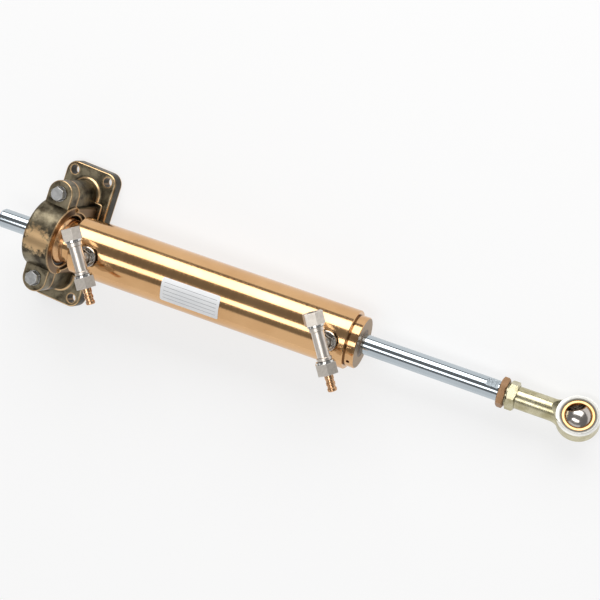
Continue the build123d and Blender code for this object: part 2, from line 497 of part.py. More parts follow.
def main():
    os.makedirs("parts", exist_ok=True)
    bolts, washers = clamp_fasteners()
    write("bracket_base", bracket_base())
    write("bracket_cap", bracket_cap())
    write("clamp_bolts", *bolts)
    write("clamp_washers", *washers)
    for name, piece in zip(("seat_liner_upper", "seat_liner_lower"), seat_liner()):
        write(name, piece)
    for name, piece in zip(("ball_sleeve_left", "ball_sleeve_right"), ball_sleeve()):
        write(name, piece)

    write("barrel_tube", barrel_tube())
    write("barrel_label", barrel_label())
    gland_names = ("gland", "rod_bush", "rod_seal", "rod_wiper", "gland_o_ring")
    for name, piece in zip(gland_names, front_gland()):
        write(f"front_{name}", piece)
    for name, piece in zip(gland_names + ("snap_ring",), rear_gland()):
        write(f"rear_{name}", piece)
    tee_names = ("tee_body", "tee_seal", "tee_washer", "tee_lock_nut", "tube_nut", "tube_olive", "bleed_nut",
                 "bleed_screw")
    for end, *places in zip(("rear", "front"), PORT_X, TUBE_NUT_TURNS, BLEED_NUT_TURNS):
        for name, piece in zip(tee_names, tee_fitting(*places)):
            write(f"{end}_{name}", piece)

    write("piston_rod", through_rod())
    piston, inner_ring, snap_rings = piston_on_rod()
    write("piston", piston)
    write("piston_inner_o_ring", inner_ring)
    write("piston_snap_rings", *snap_rings)
    seal, energiser, guides = piston_rings()
    write("piston_seal", seal)
    write("piston_seal_energiser", energiser)
    write("piston_guide_rings", *guides)
    for name, piece in zip(("rod_lock_nut", "rod_end_body", "rod_end_race", "rod_end_ball"), rod_end()):
        write(name, piece)


main()
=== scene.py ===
"""Looks of a bronze hydraulic steering cylinder: finishes, fine detail, floor, light and camera."""

import logging
import math
from dataclasses import dataclass, field, replace
from enum import Enum
from typing import Any

import bpy
from mathutils import Euler, Matrix, Quaternion, Vector


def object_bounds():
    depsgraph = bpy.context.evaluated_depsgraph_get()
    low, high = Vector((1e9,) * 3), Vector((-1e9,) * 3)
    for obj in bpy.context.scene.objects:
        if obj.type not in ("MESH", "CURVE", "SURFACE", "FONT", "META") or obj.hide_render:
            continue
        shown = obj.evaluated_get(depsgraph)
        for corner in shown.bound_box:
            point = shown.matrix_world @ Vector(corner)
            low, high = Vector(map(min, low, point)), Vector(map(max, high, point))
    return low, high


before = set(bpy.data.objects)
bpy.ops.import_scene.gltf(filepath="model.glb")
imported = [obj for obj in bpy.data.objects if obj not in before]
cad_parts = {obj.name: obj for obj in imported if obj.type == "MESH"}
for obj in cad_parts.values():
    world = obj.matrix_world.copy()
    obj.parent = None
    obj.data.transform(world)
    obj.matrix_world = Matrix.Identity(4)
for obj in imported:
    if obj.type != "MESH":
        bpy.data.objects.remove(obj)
CAD_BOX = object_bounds()

LOG = logging.getLogger("steering_cylinder")
MM = 0.001
Tree = bpy.types.NodeTree
Socket = bpy.types.NodeSocket

# Attitude of the barrel, in degrees: its axis passes through the ball's centre, 54 mm up.
BALL_CENTRE = (0.0, 0.0, 54.0)
SWIVEL, DROOP, BARREL_ROLL, EYE_ROLL = 2.76, 3.6, 5.8, -35.4
TEE_TURN, LABEL_TURN = 30.4, 13.5
# Centre of the rod end's eye in the rod's axes, in mm.
EYE_CENTRE = (561.0, 0.0, 0.0)

# Directions in a piece's own axes, where X runs along the piece, and what lies across X and Z.
ALONG, UPRIGHT = Vector((1, 0, 0)), Vector((0, 0, 1))
ACROSS_X, ACROSS_Z = (0.0, 1.0, 1.0), (1.0, 1.0, 0.0)

# Sockets of a mix node: its share, the levels or colours that it mixes, and the mixed colour.
SHARE, LEVEL_FROM, LEVEL_TO, COLOUR_FROM, COLOUR_TO, MIXED = 0, 2, 3, 6, 7, 2

# Rays sent out from each point to look for seams, hollows and edges.
RAYS = 8
# The readings between which a noise pattern mostly lies, those between which it tarnishes a metal,
# and the smoothest that a surface gets.
NOISE_LOW, NOISE_HIGH = 0.3, 0.7
TARNISH_FROM, TARNISH_FULL = 0.4, 0.65
LEAST_ROUGHNESS = 0.02
# A drawn line is 40 times as long as wide, and turned rings stay alike for 60 widths round a piece.
DRAWN_STRETCH, RING_STRETCH = 40, 60


def linear(colour: str) -> tuple[float, float, float, float]:
    """Turn an sRGB hex colour into Blender's linear colour.

    Args:
        colour: Six hex digits after a hash sign.

    Returns:
        Red, green, blue and alpha, linear.
    """
    shares = [int(colour[i:i + 2], 16) / 255 for i in (1, 3, 5)]
    curve = [s / 12.92 if s <= 0.04045 else ((s + 0.055) / 1.055) ** 2.4 for s in shares]
    return curve[0], curve[1], curve[2], 1.0


def add(tree: Tree, kind: str, settings: dict[Any, Any] | None = None,
        links: dict[Any, Socket] | None = None) -> bpy.types.Node:
    """Add one node with its settings and its incoming links.

    Args:
        tree: The node tree that gets the node.
        kind: The node's type name.
        settings: Values by property name, or by the name or number of an input.
        links: Sockets to link from, by the name or number of an input.

    Returns:
        The new node.
    """
    node = tree.nodes.new(kind)
    for key, value in (settings or {}).items():
        if isinstance(key, str) and hasattr(node, key):
            setattr(node, key, value)
        else:
            node.inputs[key].default_value = value
    for key, socket in (links or {}).items():
        tree.links.new(socket, node.inputs[key])
    return node


@dataclass(frozen=True)
class Onset:
    """Where a mark sets in as a reading changes, where it is full, and how strong it is then."""

    start: float
    full: float
    most: float = 1.0

    def settings(self) -> dict[str, float]:
        """Return the settings of a map range node that draws the mark."""
        return {"From Min": self.start, "From Max": self.full, "To Max": self.most}


# Onsets by the open share of the rays: painted shade in seams, a painted highlight along edges,
# wear with a painted highlight along cast edges, and patina in hollows.
SEAM_PAINTED_SHADE = Onset(0.8, 0.3, 0.9)
EDGE_GLINT = Onset(0.85, 0.6)
CAST_EDGE_WEAR_AND_HIGHLIGHT = Onset(0.84, 0.6)
HOLLOW_PATINA = Onset(0.85, 0.35, 0.95)
# Onset by how squarely a turned piece's face looks along its axis.
END_FACE = Onset(0.9, 0.95)
# Onset of the rubbed patch, by the share of the way out from its middle plus its ragged noise.
RUBBED_PATCH = Onset(2.35, 1.95, 0.9)


def band(tree: Tree, value: Socket, low: float, high: float, soft: float) -> Socket:
    """Mark the stretch between two values.

    Args:
        tree: The material's node tree.
        value: The value to test.
        low: Where the stretch starts.
        high: Where it ends.
        soft: Over how much it fades at each end.

    Returns:
        A socket with 1 inside the stretch and 0 outside.
    """
    rising = add(tree, "ShaderNodeMapRange", Onset(low - soft, low + soft).settings(), {"Value": value})
    falling = add(tree, "ShaderNodeMapRange", Onset(high + soft, high - soft).settings(), {"Value": value})
    return add(tree, "ShaderNodeMath", {"operation": "MULTIPLY"},
               {0: rising.outputs[0], 1: falling.outputs[0]}).outputs[0]


def rays(tree: Tree, reach_mm: float, onset: Onset, edges: bool = False, own: bool = False) -> Socket:
    """Mark what is shut in by walls close to it, or the piece's own outer edges.

    Args:
        tree: The material's node tree.
        reach_mm: How far the rays look.
        onset: The open share of the rays at which the mark sets in and is full.
        edges: Whether the rays look into the piece, which finds its edges.
        own: Whether only the piece's own walls count.

    Returns:
        A socket with the strength of the mark.
    """
    look = add(tree, "ShaderNodeAmbientOcclusion",
               {"samples": RAYS, "inside": edges, "only_local": own, "Distance": reach_mm * MM})
    return add(tree, "ShaderNodeMapRange", onset.settings(), {"Value": look.outputs["AO"]}).outputs[0]


def facing(tree: Tree, direction: Vector, smooth: bool = False) -> Socket:
    """Measure how squarely a surface faces a direction, wherever its body has moved.

    Args:
        tree: The material's node tree.
        direction: The direction at rest, of length 1.
        smooth: Whether a round counts as it is shaded, and not facet by facet.

    Returns:
        A socket with 1 where it faces the direction and -1 where it faces away.
    """
    surface = add(tree, "ShaderNodeNewGeometry")
    at_rest = add(tree, "ShaderNodeVectorTransform",
                  {"vector_type": "NORMAL", "convert_from": "WORLD", "convert_to": "OBJECT"},
                  {0: surface.outputs["Normal" if smooth else "True Normal"]})
    return add(tree, "ShaderNodeVectorMath", {"operation": "DOT_PRODUCT", 1: direction},
               {0: at_rest.outputs[0]}).outputs["Value"]


def from_axis(tree: Tree, point: Socket, through: tuple[float, float, float],
              across: tuple[float, float, float]) -> Socket:
    """Measure how far a point is from an axis.

    Args:
        tree: The material's node tree.
        point: The point in the piece's own axes, in metres.
        through: A point on the axis, in mm.
        across: 0 in the axis's direction and 1 in the two others.

    Returns:
        A socket with the distance, in metres.
    """
    offset = add(tree, "ShaderNodeVectorMath", {"operation": "SUBTRACT", 1: Vector(through) * MM},
                 {0: point})
    flat = add(tree, "ShaderNodeVectorMath", {"operation": "MULTIPLY", 1: across}, {0: offset.outputs[0]})
    return add(tree, "ShaderNodeVectorMath", {"operation": "LENGTH"}, {0: flat.outputs[0]}).outputs["Value"]


@dataclass(frozen=True)
class Axes:
    """Where a piece's own axes stand: its X runs along the piece, in degrees and mm."""

    turn: tuple[float, float, float] = (0.0, 0.0, 0.0)
    origin: tuple[float, float, float] = (0.0, 0.0, 0.0)

    def matrix(self) -> Matrix:
        """Return the matrix from the piece's axes, in metres, to the row frame."""
        place = Matrix.Translation(Vector(self.origin) * MM)
        return place @ Euler([math.radians(a) for a in self.turn]).to_matrix().to_4x4()

    def moved(self, x: float = 0.0, y: float = 0.0, z: float = 0.0) -> "Axes":
        """Return the same axes with the origin moved along them, in mm."""
        return Axes(self.turn, tuple(self.matrix() @ Vector((x * MM, y * MM, z * MM)) / MM))

    def direction(self, own: Vector) -> Vector:
        """Return a direction of the piece's axes as one of the row frame."""
        return self.matrix().to_3x3() @ own


WORLD_AXES = Axes()
BARREL_AXES = Axes((BARREL_ROLL, DROOP, SWIVEL), BALL_CENTRE)
ROD_AXES = Axes((0.0, DROOP, SWIVEL), BALL_CENTRE)
EYE_AXES = Axes((EYE_ROLL, DROOP, SWIVEL), BALL_CENTRE)
LABEL_AXES = Axes((BARREL_ROLL + LABEL_TURN, DROOP, SWIVEL), BALL_CENTRE)


class Lay(Enum):
    """Which way the marks of a finish run."""

    TURNED = "rings about the piece's axis, from a lathe"
    DRAWN = "lines along the piece's axis, from drawing or brushing"
    GRAIN = "no direction, as cast, blasted or plated"


@dataclass(frozen=True)
class Skin:
    """A surface before it is shaded: the point in the piece's own axes, and what shows there."""

    point: Socket
    colour: Socket
    gloss: Socket
    relief: Socket


@dataclass(frozen=True)
class Metal:
    """A metal surface: two tones of its tarnish, its gloss, and the marks of how it was made.

    Painted shade darkens what has a wall within its shade reach, and a painted highlight brightens edges
    over glint_mm; a reach of 0 leaves either out.
    """

    name: str
    clean: str
    tarnished: str
    roughness: float
    spread: float = 0.06
    lay: Lay = Lay.GRAIN
    mark_mm: float = 1.2
    depth_mm: float = 0.004
    patch_mm: float = 14.0
    patch_share: float = 0.5
    metallic: float = 1.0
    painted_shade_mm: float = 0.0
    painted_shade: str = "#1E1912"
    glint_mm: float = 0.0
    glint: str = "#F6F4F0"

    def place(self, tree: Tree, axes: Axes) -> Socket:
        """Find the point being shaded in the piece's own axes.

        Args:
            tree: The material's node tree.
            axes: The piece's own axes.

        Returns:
            A socket with the point, in metres.
        """
        coordinates = add(tree, "ShaderNodeTexCoord")
        turn = [math.radians(a) for a in axes.turn]
        mapping = add(tree, "ShaderNodeMapping",
                      {"vector_type": "TEXTURE", "Location": Vector(axes.origin) * MM, "Rotation": turn},
                      {"Vector": coordinates.outputs["Object"]})
        return mapping.outputs["Vector"]

    def marks(self, tree: Tree, point: Socket) -> Socket:
        """Draw the height pattern of the marks.

        Args:
            tree: The material's node tree.
            point: The point in the piece's own axes, in metres.

        Returns:
            A socket with the pattern, from 0 to 1.
        """
        across = 1 / (self.mark_mm * MM)
        if self.lay is Lay.GRAIN:
            noise = add(tree, "ShaderNodeTexNoise", {"Scale": across, "Detail": 3.0, "Roughness": 0.55},
                        {"Vector": point})
            return noise.outputs[0]
        if self.lay is Lay.DRAWN:
            along = across / DRAWN_STRETCH
            stretched = add(tree, "ShaderNodeVectorMath",
                            {"operation": "MULTIPLY", 1: (along, across, across)}, {0: point})
        else:
            split = add(tree, "ShaderNodeSeparateXYZ", links={0: point})
            radius = from_axis(tree, point, WORLD_AXES.origin, ACROSS_X)
            rings = add(tree, "ShaderNodeCombineXYZ", links={0: split.outputs[0], 1: radius})
            scaled = add(tree, "ShaderNodeVectorMath",
                         {"operation": "MULTIPLY", 1: (across, across, 0.0)}, {0: rings.outputs[0]})
            round_it = across / RING_STRETCH
            drift = add(tree, "ShaderNodeVectorMath",
                        {"operation": "MULTIPLY", 1: (0.0, round_it, round_it)}, {0: point})
            stretched = add(tree, "ShaderNodeVectorMath", {"operation": "ADD"},
                            {0: scaled.outputs[0], 1: drift.outputs[0]})
        noise = add(tree, "ShaderNodeTexNoise", {"Scale": 1.0, "Detail": 4.0, "Roughness": 0.6},
                    {"Vector": stretched.outputs[0]})
        return noise.outputs[0]

    def tone(self, tree: Tree, point: Socket) -> Socket:
        """Lay patches of tarnish over the clean metal.

        Args:
            tree: The material's node tree.
            point: The point in the piece's own axes, in metres.

        Returns:
            A socket with the colour.
        """
        noise = add(tree, "ShaderNodeTexNoise",
                    {"Scale": 1 / (self.patch_mm * MM), "Detail": 4.0, "Roughness": 0.6}, {"Vector": point})
        tarnish = Onset(TARNISH_FROM, TARNISH_FULL, self.patch_share)
        share = add(tree, "ShaderNodeMapRange", tarnish.settings(), {"Value": noise.outputs[0]})
        mix = add(tree, "ShaderNodeMix", {"data_type": "RGBA", COLOUR_FROM: linear(self.clean),
                                          COLOUR_TO: linear(self.tarnished)}, {SHARE: share.outputs[0]})
        return mix.outputs[MIXED]

    def paint_shade_and_glint(self, tree: Tree, colour: Socket) -> Socket:
        """Darken the seams with painted shade, and brighten the edges with a painted highlight.

        Args:
            tree: The material's node tree.
            colour: The colour of the open surface.

        Returns:
            A socket with the colour under painted shade and highlight.
        """
        # Painted shade: darker where another wall stands close, as in the seams between parts.
        if self.painted_shade_mm:
            seam = rays(tree, self.painted_shade_mm, SEAM_PAINTED_SHADE)
            colour = add(tree, "ShaderNodeMix", {"data_type": "RGBA", COLOUR_TO: linear(self.painted_shade)},
                         {SHARE: seam, COLOUR_FROM: colour}).outputs[MIXED]
        # Painted highlight: brighter along the piece's own outer edges.
        if self.glint_mm:
            edge = rays(tree, self.glint_mm, EDGE_GLINT, edges=True, own=True)
            colour = add(tree, "ShaderNodeMix", {"data_type": "RGBA", COLOUR_TO: linear(self.glint)},
                         {SHARE: edge, COLOUR_FROM: colour}).outputs[MIXED]
        return colour

    def gloss(self, tree: Tree, pattern: Socket) -> Socket:
        """Work out the roughness, which follows the marks a little.

        Args:
            tree: The material's node tree.
            pattern: The height pattern of the marks.

        Returns:
            A socket with the roughness.
        """
        low, high = max(self.roughness - self.spread, LEAST_ROUGHNESS), self.roughness + self.spread
        return add(tree, "ShaderNodeMapRange",
                   {"From Min": NOISE_LOW, "From Max": NOISE_HIGH, "To Min": low, "To Max": high},
                   {"Value": pattern}).outputs[0]

    def finish(self, tree: Tree, skin: Skin) -> bpy.types.Node:
        """Join the parts of the surface into one shader.

        Args:
            tree: The material's node tree.
            skin: What the surface shows.

        Returns:
            The shader.
        """
        bump = add(tree, "ShaderNodeBump", {"Strength": 1.0, "Distance": self.depth_mm * MM},
                   {"Height": skin.relief})
        shader = add(tree, "ShaderNodeBsdfPrincipled", {"Metallic": self.metallic},
                     {"Base Color": skin.colour, "Roughness": skin.gloss, "Normal": bump.outputs[0]})
        add(tree, "ShaderNodeOutputMaterial", links={"Surface": shader.outputs[0]})
        return shader

    def material(self, axes: Axes = WORLD_AXES) -> bpy.types.Material:
        """Build the material.

        Args:
            axes: The piece's own axes, which its marks follow.

        Returns:
            The new material.
        """
        material = bpy.data.materials.new(self.name)
        material.use_nodes = True
        tree = material.node_tree
        tree.nodes.clear()
        point = self.place(tree, axes)
        pattern = self.marks(tree, point)
        colour = self.paint_shade_and_glint(tree, self.tone(tree, point))
        self.finish(tree, Skin(point, colour, self.gloss(tree, pattern), pattern))
        return material


@dataclass(frozen=True)
class CastMetal(Metal):
    """Sand-cast bronze: grainy skin, patina in hollows, edge wear with a painted highlight, rubbed patches.

    The ring is the clamp's, round the ball's centre. Places and radii are in mm too. The machined face's
    brown is partly a painted dark reflection.
    """

    # Pale gold of the wear and of the painted highlight along edges and rounds.
    wear_and_highlight: str = "#E3BE8E"
    # Dark of the patina in the hollows and of the painted shade on the plate's walls.
    patina_and_shade: str = "#2B271E"
    # Brown of the machined face: tarnish, darkened further as a painted dark reflection.
    faced: str = "#7F6850"
    bare_roughness: float = 0.34
    edge_mm: float = 2.4
    hollow_mm: float = 14.0
    off_ring_r: float = 36.9
    round_low: float = 0.66
    round_high: float = 0.9
    round_soft: float = 0.05
    rubbed_low: tuple[float, float, float] = (-22.0, -18.0, 77.0)
    rubbed_high: tuple[float, float, float] = (21.0, 11.0, 98.0)
    rag_mm: float = 6.0
    raggedness: float = 2.6
    machined_low: float = 15.5
    machined_high: float = 20.0
    machined_soft: float = 0.1
    front_least: float = 0.6
    plate_top: float = 12.6
    side_most_rise: float = 0.3
    side_share: float = 0.9

    def edges(self, tree: Tree, point: Socket) -> Socket:
        """Mark edges with wear and a painted highlight, and outside the ring a painted highlight on upward
        rounds.

        Args:
            tree: The material's node tree.
            point: The point in the piece's own axes, in metres.

        Returns:
            A socket with the share of wear and painted highlight.
        """
        sharp = rays(tree, self.edge_mm, CAST_EDGE_WEAR_AND_HIGHLIGHT, edges=True, own=True)
        # Painted highlight: outside the ring, rounds whose shaded normal points upward, as if lit from
        # above.
        round_top = band(tree, facing(tree, UPRIGHT, smooth=True), self.round_low, self.round_high,
                         self.round_soft)
        off_ring = add(tree, "ShaderNodeMath", {"operation": "GREATER_THAN", 1: self.off_ring_r * MM},
                       {0: from_axis(tree, point, BALL_CENTRE, ACROSS_X)})
        rounds = add(tree, "ShaderNodeMath", {"operation": "MULTIPLY"},
                     {0: round_top, 1: off_ring.outputs[0]})
        return add(tree, "ShaderNodeMath", {"operation": "MAXIMUM"},
                   {0: sharp, 1: rounds.outputs[0]}).outputs[0]

    def painted_wall_shade(self, tree: Tree, point: Socket) -> Socket:
        """Mark the upright walls of the plate, which get painted shade.

        Args:
            tree: The material's node tree.
            point: The point in the piece's own axes, in metres.

        Returns:
            A socket with the share of painted shade.
        """
        height = add(tree, "ShaderNodeSeparateXYZ", links={0: point})
        low = add(tree, "ShaderNodeMath", {"operation": "LESS_THAN", 1: self.plate_top * MM},
                  {0: height.outputs[2]})
        rise = add(tree, "ShaderNodeMath", {"operation": "ABSOLUTE"}, {0: facing(tree, UPRIGHT)})
        upright = add(tree, "ShaderNodeMath", {"operation": "LESS_THAN", 1: self.side_most_rise},
                      {0: rise.outputs[0]})
        both = add(tree, "ShaderNodeMath", {"operation": "MULTIPLY"},
                   {0: low.outputs[0], 1: upright.outputs[0]})
        return add(tree, "ShaderNodeMath", {"operation": "MULTIPLY", 1: self.side_share},
                   {0: both.outputs[0]}).outputs[0]

    def machined(self, tree: Tree, point: Socket) -> Socket:
        """Mark where a cutter has faced the front of the ring.

        Args:
            tree: The material's node tree.
            point: The point in the piece's own axes, in metres.

        Returns:
            A socket with 1 there and 0 elsewhere.
        """
        split = add(tree, "ShaderNodeSeparateXYZ", links={0: point})
        reached = band(tree, split.outputs[0], self.machined_low * MM, self.machined_high * MM,
                       self.machined_soft * MM)
        flat = add(tree, "ShaderNodeMath", {"operation": "GREATER_THAN", 1: self.front_least},
                   {0: facing(tree, ALONG)})
        return add(tree, "ShaderNodeMath", {"operation": "MULTIPLY"},
                   {0: reached, 1: flat.outputs[0]}).outputs[0]

    def rubbed(self, tree: Tree, point: Socket) -> Socket:
        """Mark the ragged patch that is rubbed bright.

        Args:
            tree: The material's node tree.
            point: The point in the piece's own axes, in metres.

        Returns:
            A socket with the share of wear.
        """
        centre = (Vector(self.rubbed_low) + Vector(self.rubbed_high)) / 2 * MM
        half = (Vector(self.rubbed_high) - Vector(self.rubbed_low)) / 2 * MM
        offset = add(tree, "ShaderNodeVectorMath", {"operation": "SUBTRACT", 1: centre}, {0: point})
        share = add(tree, "ShaderNodeVectorMath", {"operation": "DIVIDE", 1: half}, {0: offset.outputs[0]})
        way_out = add(tree, "ShaderNodeVectorMath", {"operation": "LENGTH"}, {0: share.outputs[0]})
        rag = add(tree, "ShaderNodeTexNoise",
                  {"Scale": 1 / (self.rag_mm * MM), "Detail": 6.0, "Roughness": 0.7}, {"Vector": point})
        torn = add(tree, "ShaderNodeMath", {"operation": "MULTIPLY_ADD", 1: self.raggedness},
                   {0: rag.outputs[0], 2: way_out.outputs["Value"]})
        return add(tree, "ShaderNodeMapRange", RUBBED_PATCH.settings(),
                   {"Value": torn.outputs[0]}).outputs[0]

    def finish(self, tree: Tree, skin: Skin) -> bpy.types.Node:
        """Join cast skin, patina, painted shade on the plate's walls, edge wear with a painted highlight,
        rubbed patch and machined face into one shader.

        Args:
            tree: The material's node tree.
            skin: What the plain cast surface shows.

        Returns:
            The shader.
        """
        # Patina in the hollows and painted shade on the plate's upright walls take the dark colour.
        hollows = rays(tree, self.hollow_mm, HOLLOW_PATINA, own=True)
        dark = add(tree, "ShaderNodeMath", {"operation": "MAXIMUM"},
                   {0: hollows, 1: self.painted_wall_shade(tree, skin.point)})
        shaded = add(tree, "ShaderNodeMix", {"data_type": "RGBA", COLOUR_TO: linear(self.patina_and_shade)},
                     {SHARE: dark.outputs[0], COLOUR_FROM: skin.colour})
        # Machined face: its brown is partly a painted dark reflection.
        bare = self.machined(tree, skin.point)
        cut = add(tree, "ShaderNodeMix", {"data_type": "RGBA", COLOUR_TO: linear(self.faced)},
                  {SHARE: bare, COLOUR_FROM: shaded.outputs[MIXED]})
        # Wear and painted highlight: edges, upward rounds and the rubbed patch take the pale gold.
        wear_and_highlight = add(tree, "ShaderNodeMath", {"operation": "MAXIMUM"},
                   {0: self.edges(tree, skin.point), 1: self.rubbed(tree, skin.point)})
        tone = add(tree, "ShaderNodeMix", {"data_type": "RGBA", COLOUR_TO: linear(self.wear_and_highlight)},
                   {SHARE: wear_and_highlight.outputs[0], COLOUR_FROM: cut.outputs[MIXED]})
        bright = add(tree, "ShaderNodeMath", {"operation": "MAXIMUM"}, {0: wear_and_highlight.outputs[0], 1: bare})
        smooth = add(tree, "ShaderNodeMix", {"data_type": "FLOAT", LEVEL_TO: self.bare_roughness},
                     {SHARE: bright.outputs[0], LEVEL_FROM: skin.gloss})
        cast = add(tree, "ShaderNodeMath", {"operation": "SUBTRACT", 0: 1.0}, {1: bright.outputs[0]})
        grain = add(tree, "ShaderNodeMath", {"operation": "MULTIPLY"},
                    {0: skin.relief, 1: cast.outputs[0]})
        return super().finish(tree, Skin(skin.point, tone.outputs[MIXED], smooth.outputs[0],
                                         grain.outputs[0]))


@dataclass(frozen=True)
class FacedMetal(Metal):
    """Turned metal whose end faces are left duller than its polished rim."""

    face: str = "#A08A70"
    face_roughness: float = 0.42

    def finish(self, tree: Tree, skin: Skin) -> bpy.types.Node:
        """Join the polished rim and the duller end faces into one shader.

        Args:
            tree: The material's node tree.
            skin: What the rim shows.

        Returns:
            The shader.
        """
        turned_away = add(tree, "ShaderNodeMath", {"operation": "ABSOLUTE"},
                          {0: facing(tree, BARREL_AXES.direction(ALONG))})
        end = add(tree, "ShaderNodeMapRange", END_FACE.settings(), {"Value": turned_away.outputs[0]})
        tone = add(tree, "ShaderNodeMix", {"data_type": "RGBA", COLOUR_TO: linear(self.face)},
                   {SHARE: end.outputs[0], COLOUR_FROM: skin.colour})
        dull = add(tree, "ShaderNodeMix", {"data_type": "FLOAT", LEVEL_TO: self.face_roughness},
                   {SHARE: end.outputs[0], LEVEL_FROM: skin.gloss})
        return super().finish(tree, replace(skin, colour=tone.outputs[MIXED], gloss=dull.outputs[0]))


@dataclass(frozen=True)
class EyeMetal(Metal):
    """Plated forging whose eye has a painted highlight on its chamfered cone, and a plain grey ring round
    the race.
    """

    bright: str = "#F6F5F0"
    grey: str = "#5C5850"
    bright_metallic: float = 0.35
    faced_roughness: float = 0.5
    face_least: float = 0.7
    ring_r: float = 18.3
    ring_soft_mm: float = 1.4
    eye_r: float = 21.3
    eye_soft_mm: float = 0.15

    def finish(self, tree: Tree, skin: Skin) -> bpy.types.Node:
        """Join the plated skin, the painted highlight on the eye's cone and its grey ring into one shader.

        Args:
            tree: The material's node tree.
            skin: What the plating shows.

        Returns:
            The shader.
        """
        reach = from_axis(tree, skin.point, EYE_CENTRE, ACROSS_Z)
        steep = add(tree, "ShaderNodeMath", {"operation": "ABSOLUTE"},
                    {0: facing(tree, EYE_AXES.direction(UPRIGHT))})
        face = add(tree, "ShaderNodeMath", {"operation": "GREATER_THAN", 1: self.face_least},
                   {0: steep.outputs[0]})
        disc = add(tree, "ShaderNodeMath", {"operation": "MULTIPLY"},
                   {0: band(tree, reach, 0.0, self.eye_r * MM, self.eye_soft_mm * MM), 1: face.outputs[0]})
        ring = add(tree, "ShaderNodeMath", {"operation": "MULTIPLY"},
                   {0: band(tree, reach, 0.0, self.ring_r * MM, self.ring_soft_mm * MM), 1: face.outputs[0]})
        cone = add(tree, "ShaderNodeMath", {"operation": "SUBTRACT"},
                   {0: disc.outputs[0], 1: ring.outputs[0]})
        # Painted highlight: the eye's face turns near-white out to eye_r; the grey ring then covers its
        # inner part.
        faced = add(tree, "ShaderNodeMix", {"data_type": "RGBA", COLOUR_TO: linear(self.bright)},
                    {SHARE: disc.outputs[0], COLOUR_FROM: skin.colour})
        tone = add(tree, "ShaderNodeMix", {"data_type": "RGBA", COLOUR_TO: linear(self.grey)},
                   {SHARE: ring.outputs[0], COLOUR_FROM: faced.outputs[MIXED]})
        dull = add(tree, "ShaderNodeMix", {"data_type": "FLOAT", LEVEL_TO: self.faced_roughness},
                   {SHARE: disc.outputs[0], LEVEL_FROM: skin.gloss})
        shader = super().finish(tree, replace(skin, colour=tone.outputs[MIXED], gloss=dull.outputs[0]))
        # The painted highlight's cone is less metallic, so it shows white.
        metal = add(tree, "ShaderNodeMapRange", {"To Min": self.metallic, "To Max": self.bright_metallic},
                    {"Value": cone.outputs[0]})
        tree.links.new(metal.outputs[0], shader.inputs["Metallic"])
        return shader


@dataclass(frozen=True)
class NutMetal(Metal):
    """Matte hexagon nut with a turned band on its inner end, left bright from the tool."""

    bright: str = "#E2E0DC"
    bright_roughness: float = 0.1
    hexagon_from: float = 20.0
    border_mm: float = 0.1

    def finish(self, tree: Tree, skin: Skin) -> bpy.types.Node:
        """Join the matte hexagon and its bright band into one shader.

        Args:
            tree: The material's node tree.
            skin: What the hexagon shows, at points in the tee's axes.

        Returns:
            The shader.
        """
        split = add(tree, "ShaderNodeSeparateXYZ", links={0: skin.point})
        out = add(tree, "ShaderNodeMath", {"operation": "ABSOLUTE"}, {0: split.outputs[0]})
        turned = band(tree, out.outputs[0], 0.0, self.hexagon_from * MM, self.border_mm * MM)
        tone = add(tree, "ShaderNodeMix", {"data_type": "RGBA", COLOUR_TO: linear(self.bright)},
                   {SHARE: turned, COLOUR_FROM: skin.colour})
        shine = add(tree, "ShaderNodeMix", {"data_type": "FLOAT", LEVEL_TO: self.bright_roughness},
                    {SHARE: turned, LEVEL_FROM: skin.gloss})
        return super().finish(tree, replace(skin, colour=tone.outputs[MIXED], gloss=shine.outputs[0]))


@dataclass(frozen=True)
class RaceMetal(Metal):
    """Bearing race: bright in the middle of its face, with painted shade in brown along both rims."""

    rim: str = "#6B4526"
    bright_low_r: float = 13.3
    bright_high_r: float = 15.2
    rim_soft_mm: float = 0.25

    def finish(self, tree: Tree, skin: Skin) -> bpy.types.Node:
        """Join the bright ring and the painted shade along its rims into one shader.

        Args:
            tree: The material's node tree.
            skin: What the bright ring shows.

        Returns:
            The shader.
        """
        clean = band(tree, from_axis(tree, skin.point, EYE_CENTRE, ACROSS_Z), self.bright_low_r * MM,
                     self.bright_high_r * MM, self.rim_soft_mm * MM)
        # Painted shade: brown along both rims of the race's face.
        tone = add(tree, "ShaderNodeMix", {"data_type": "RGBA", COLOUR_FROM: linear(self.rim)},
                   {SHARE: clean, COLOUR_TO: skin.colour})
        return super().finish(tree, replace(skin, colour=tone.outputs[MIXED]))


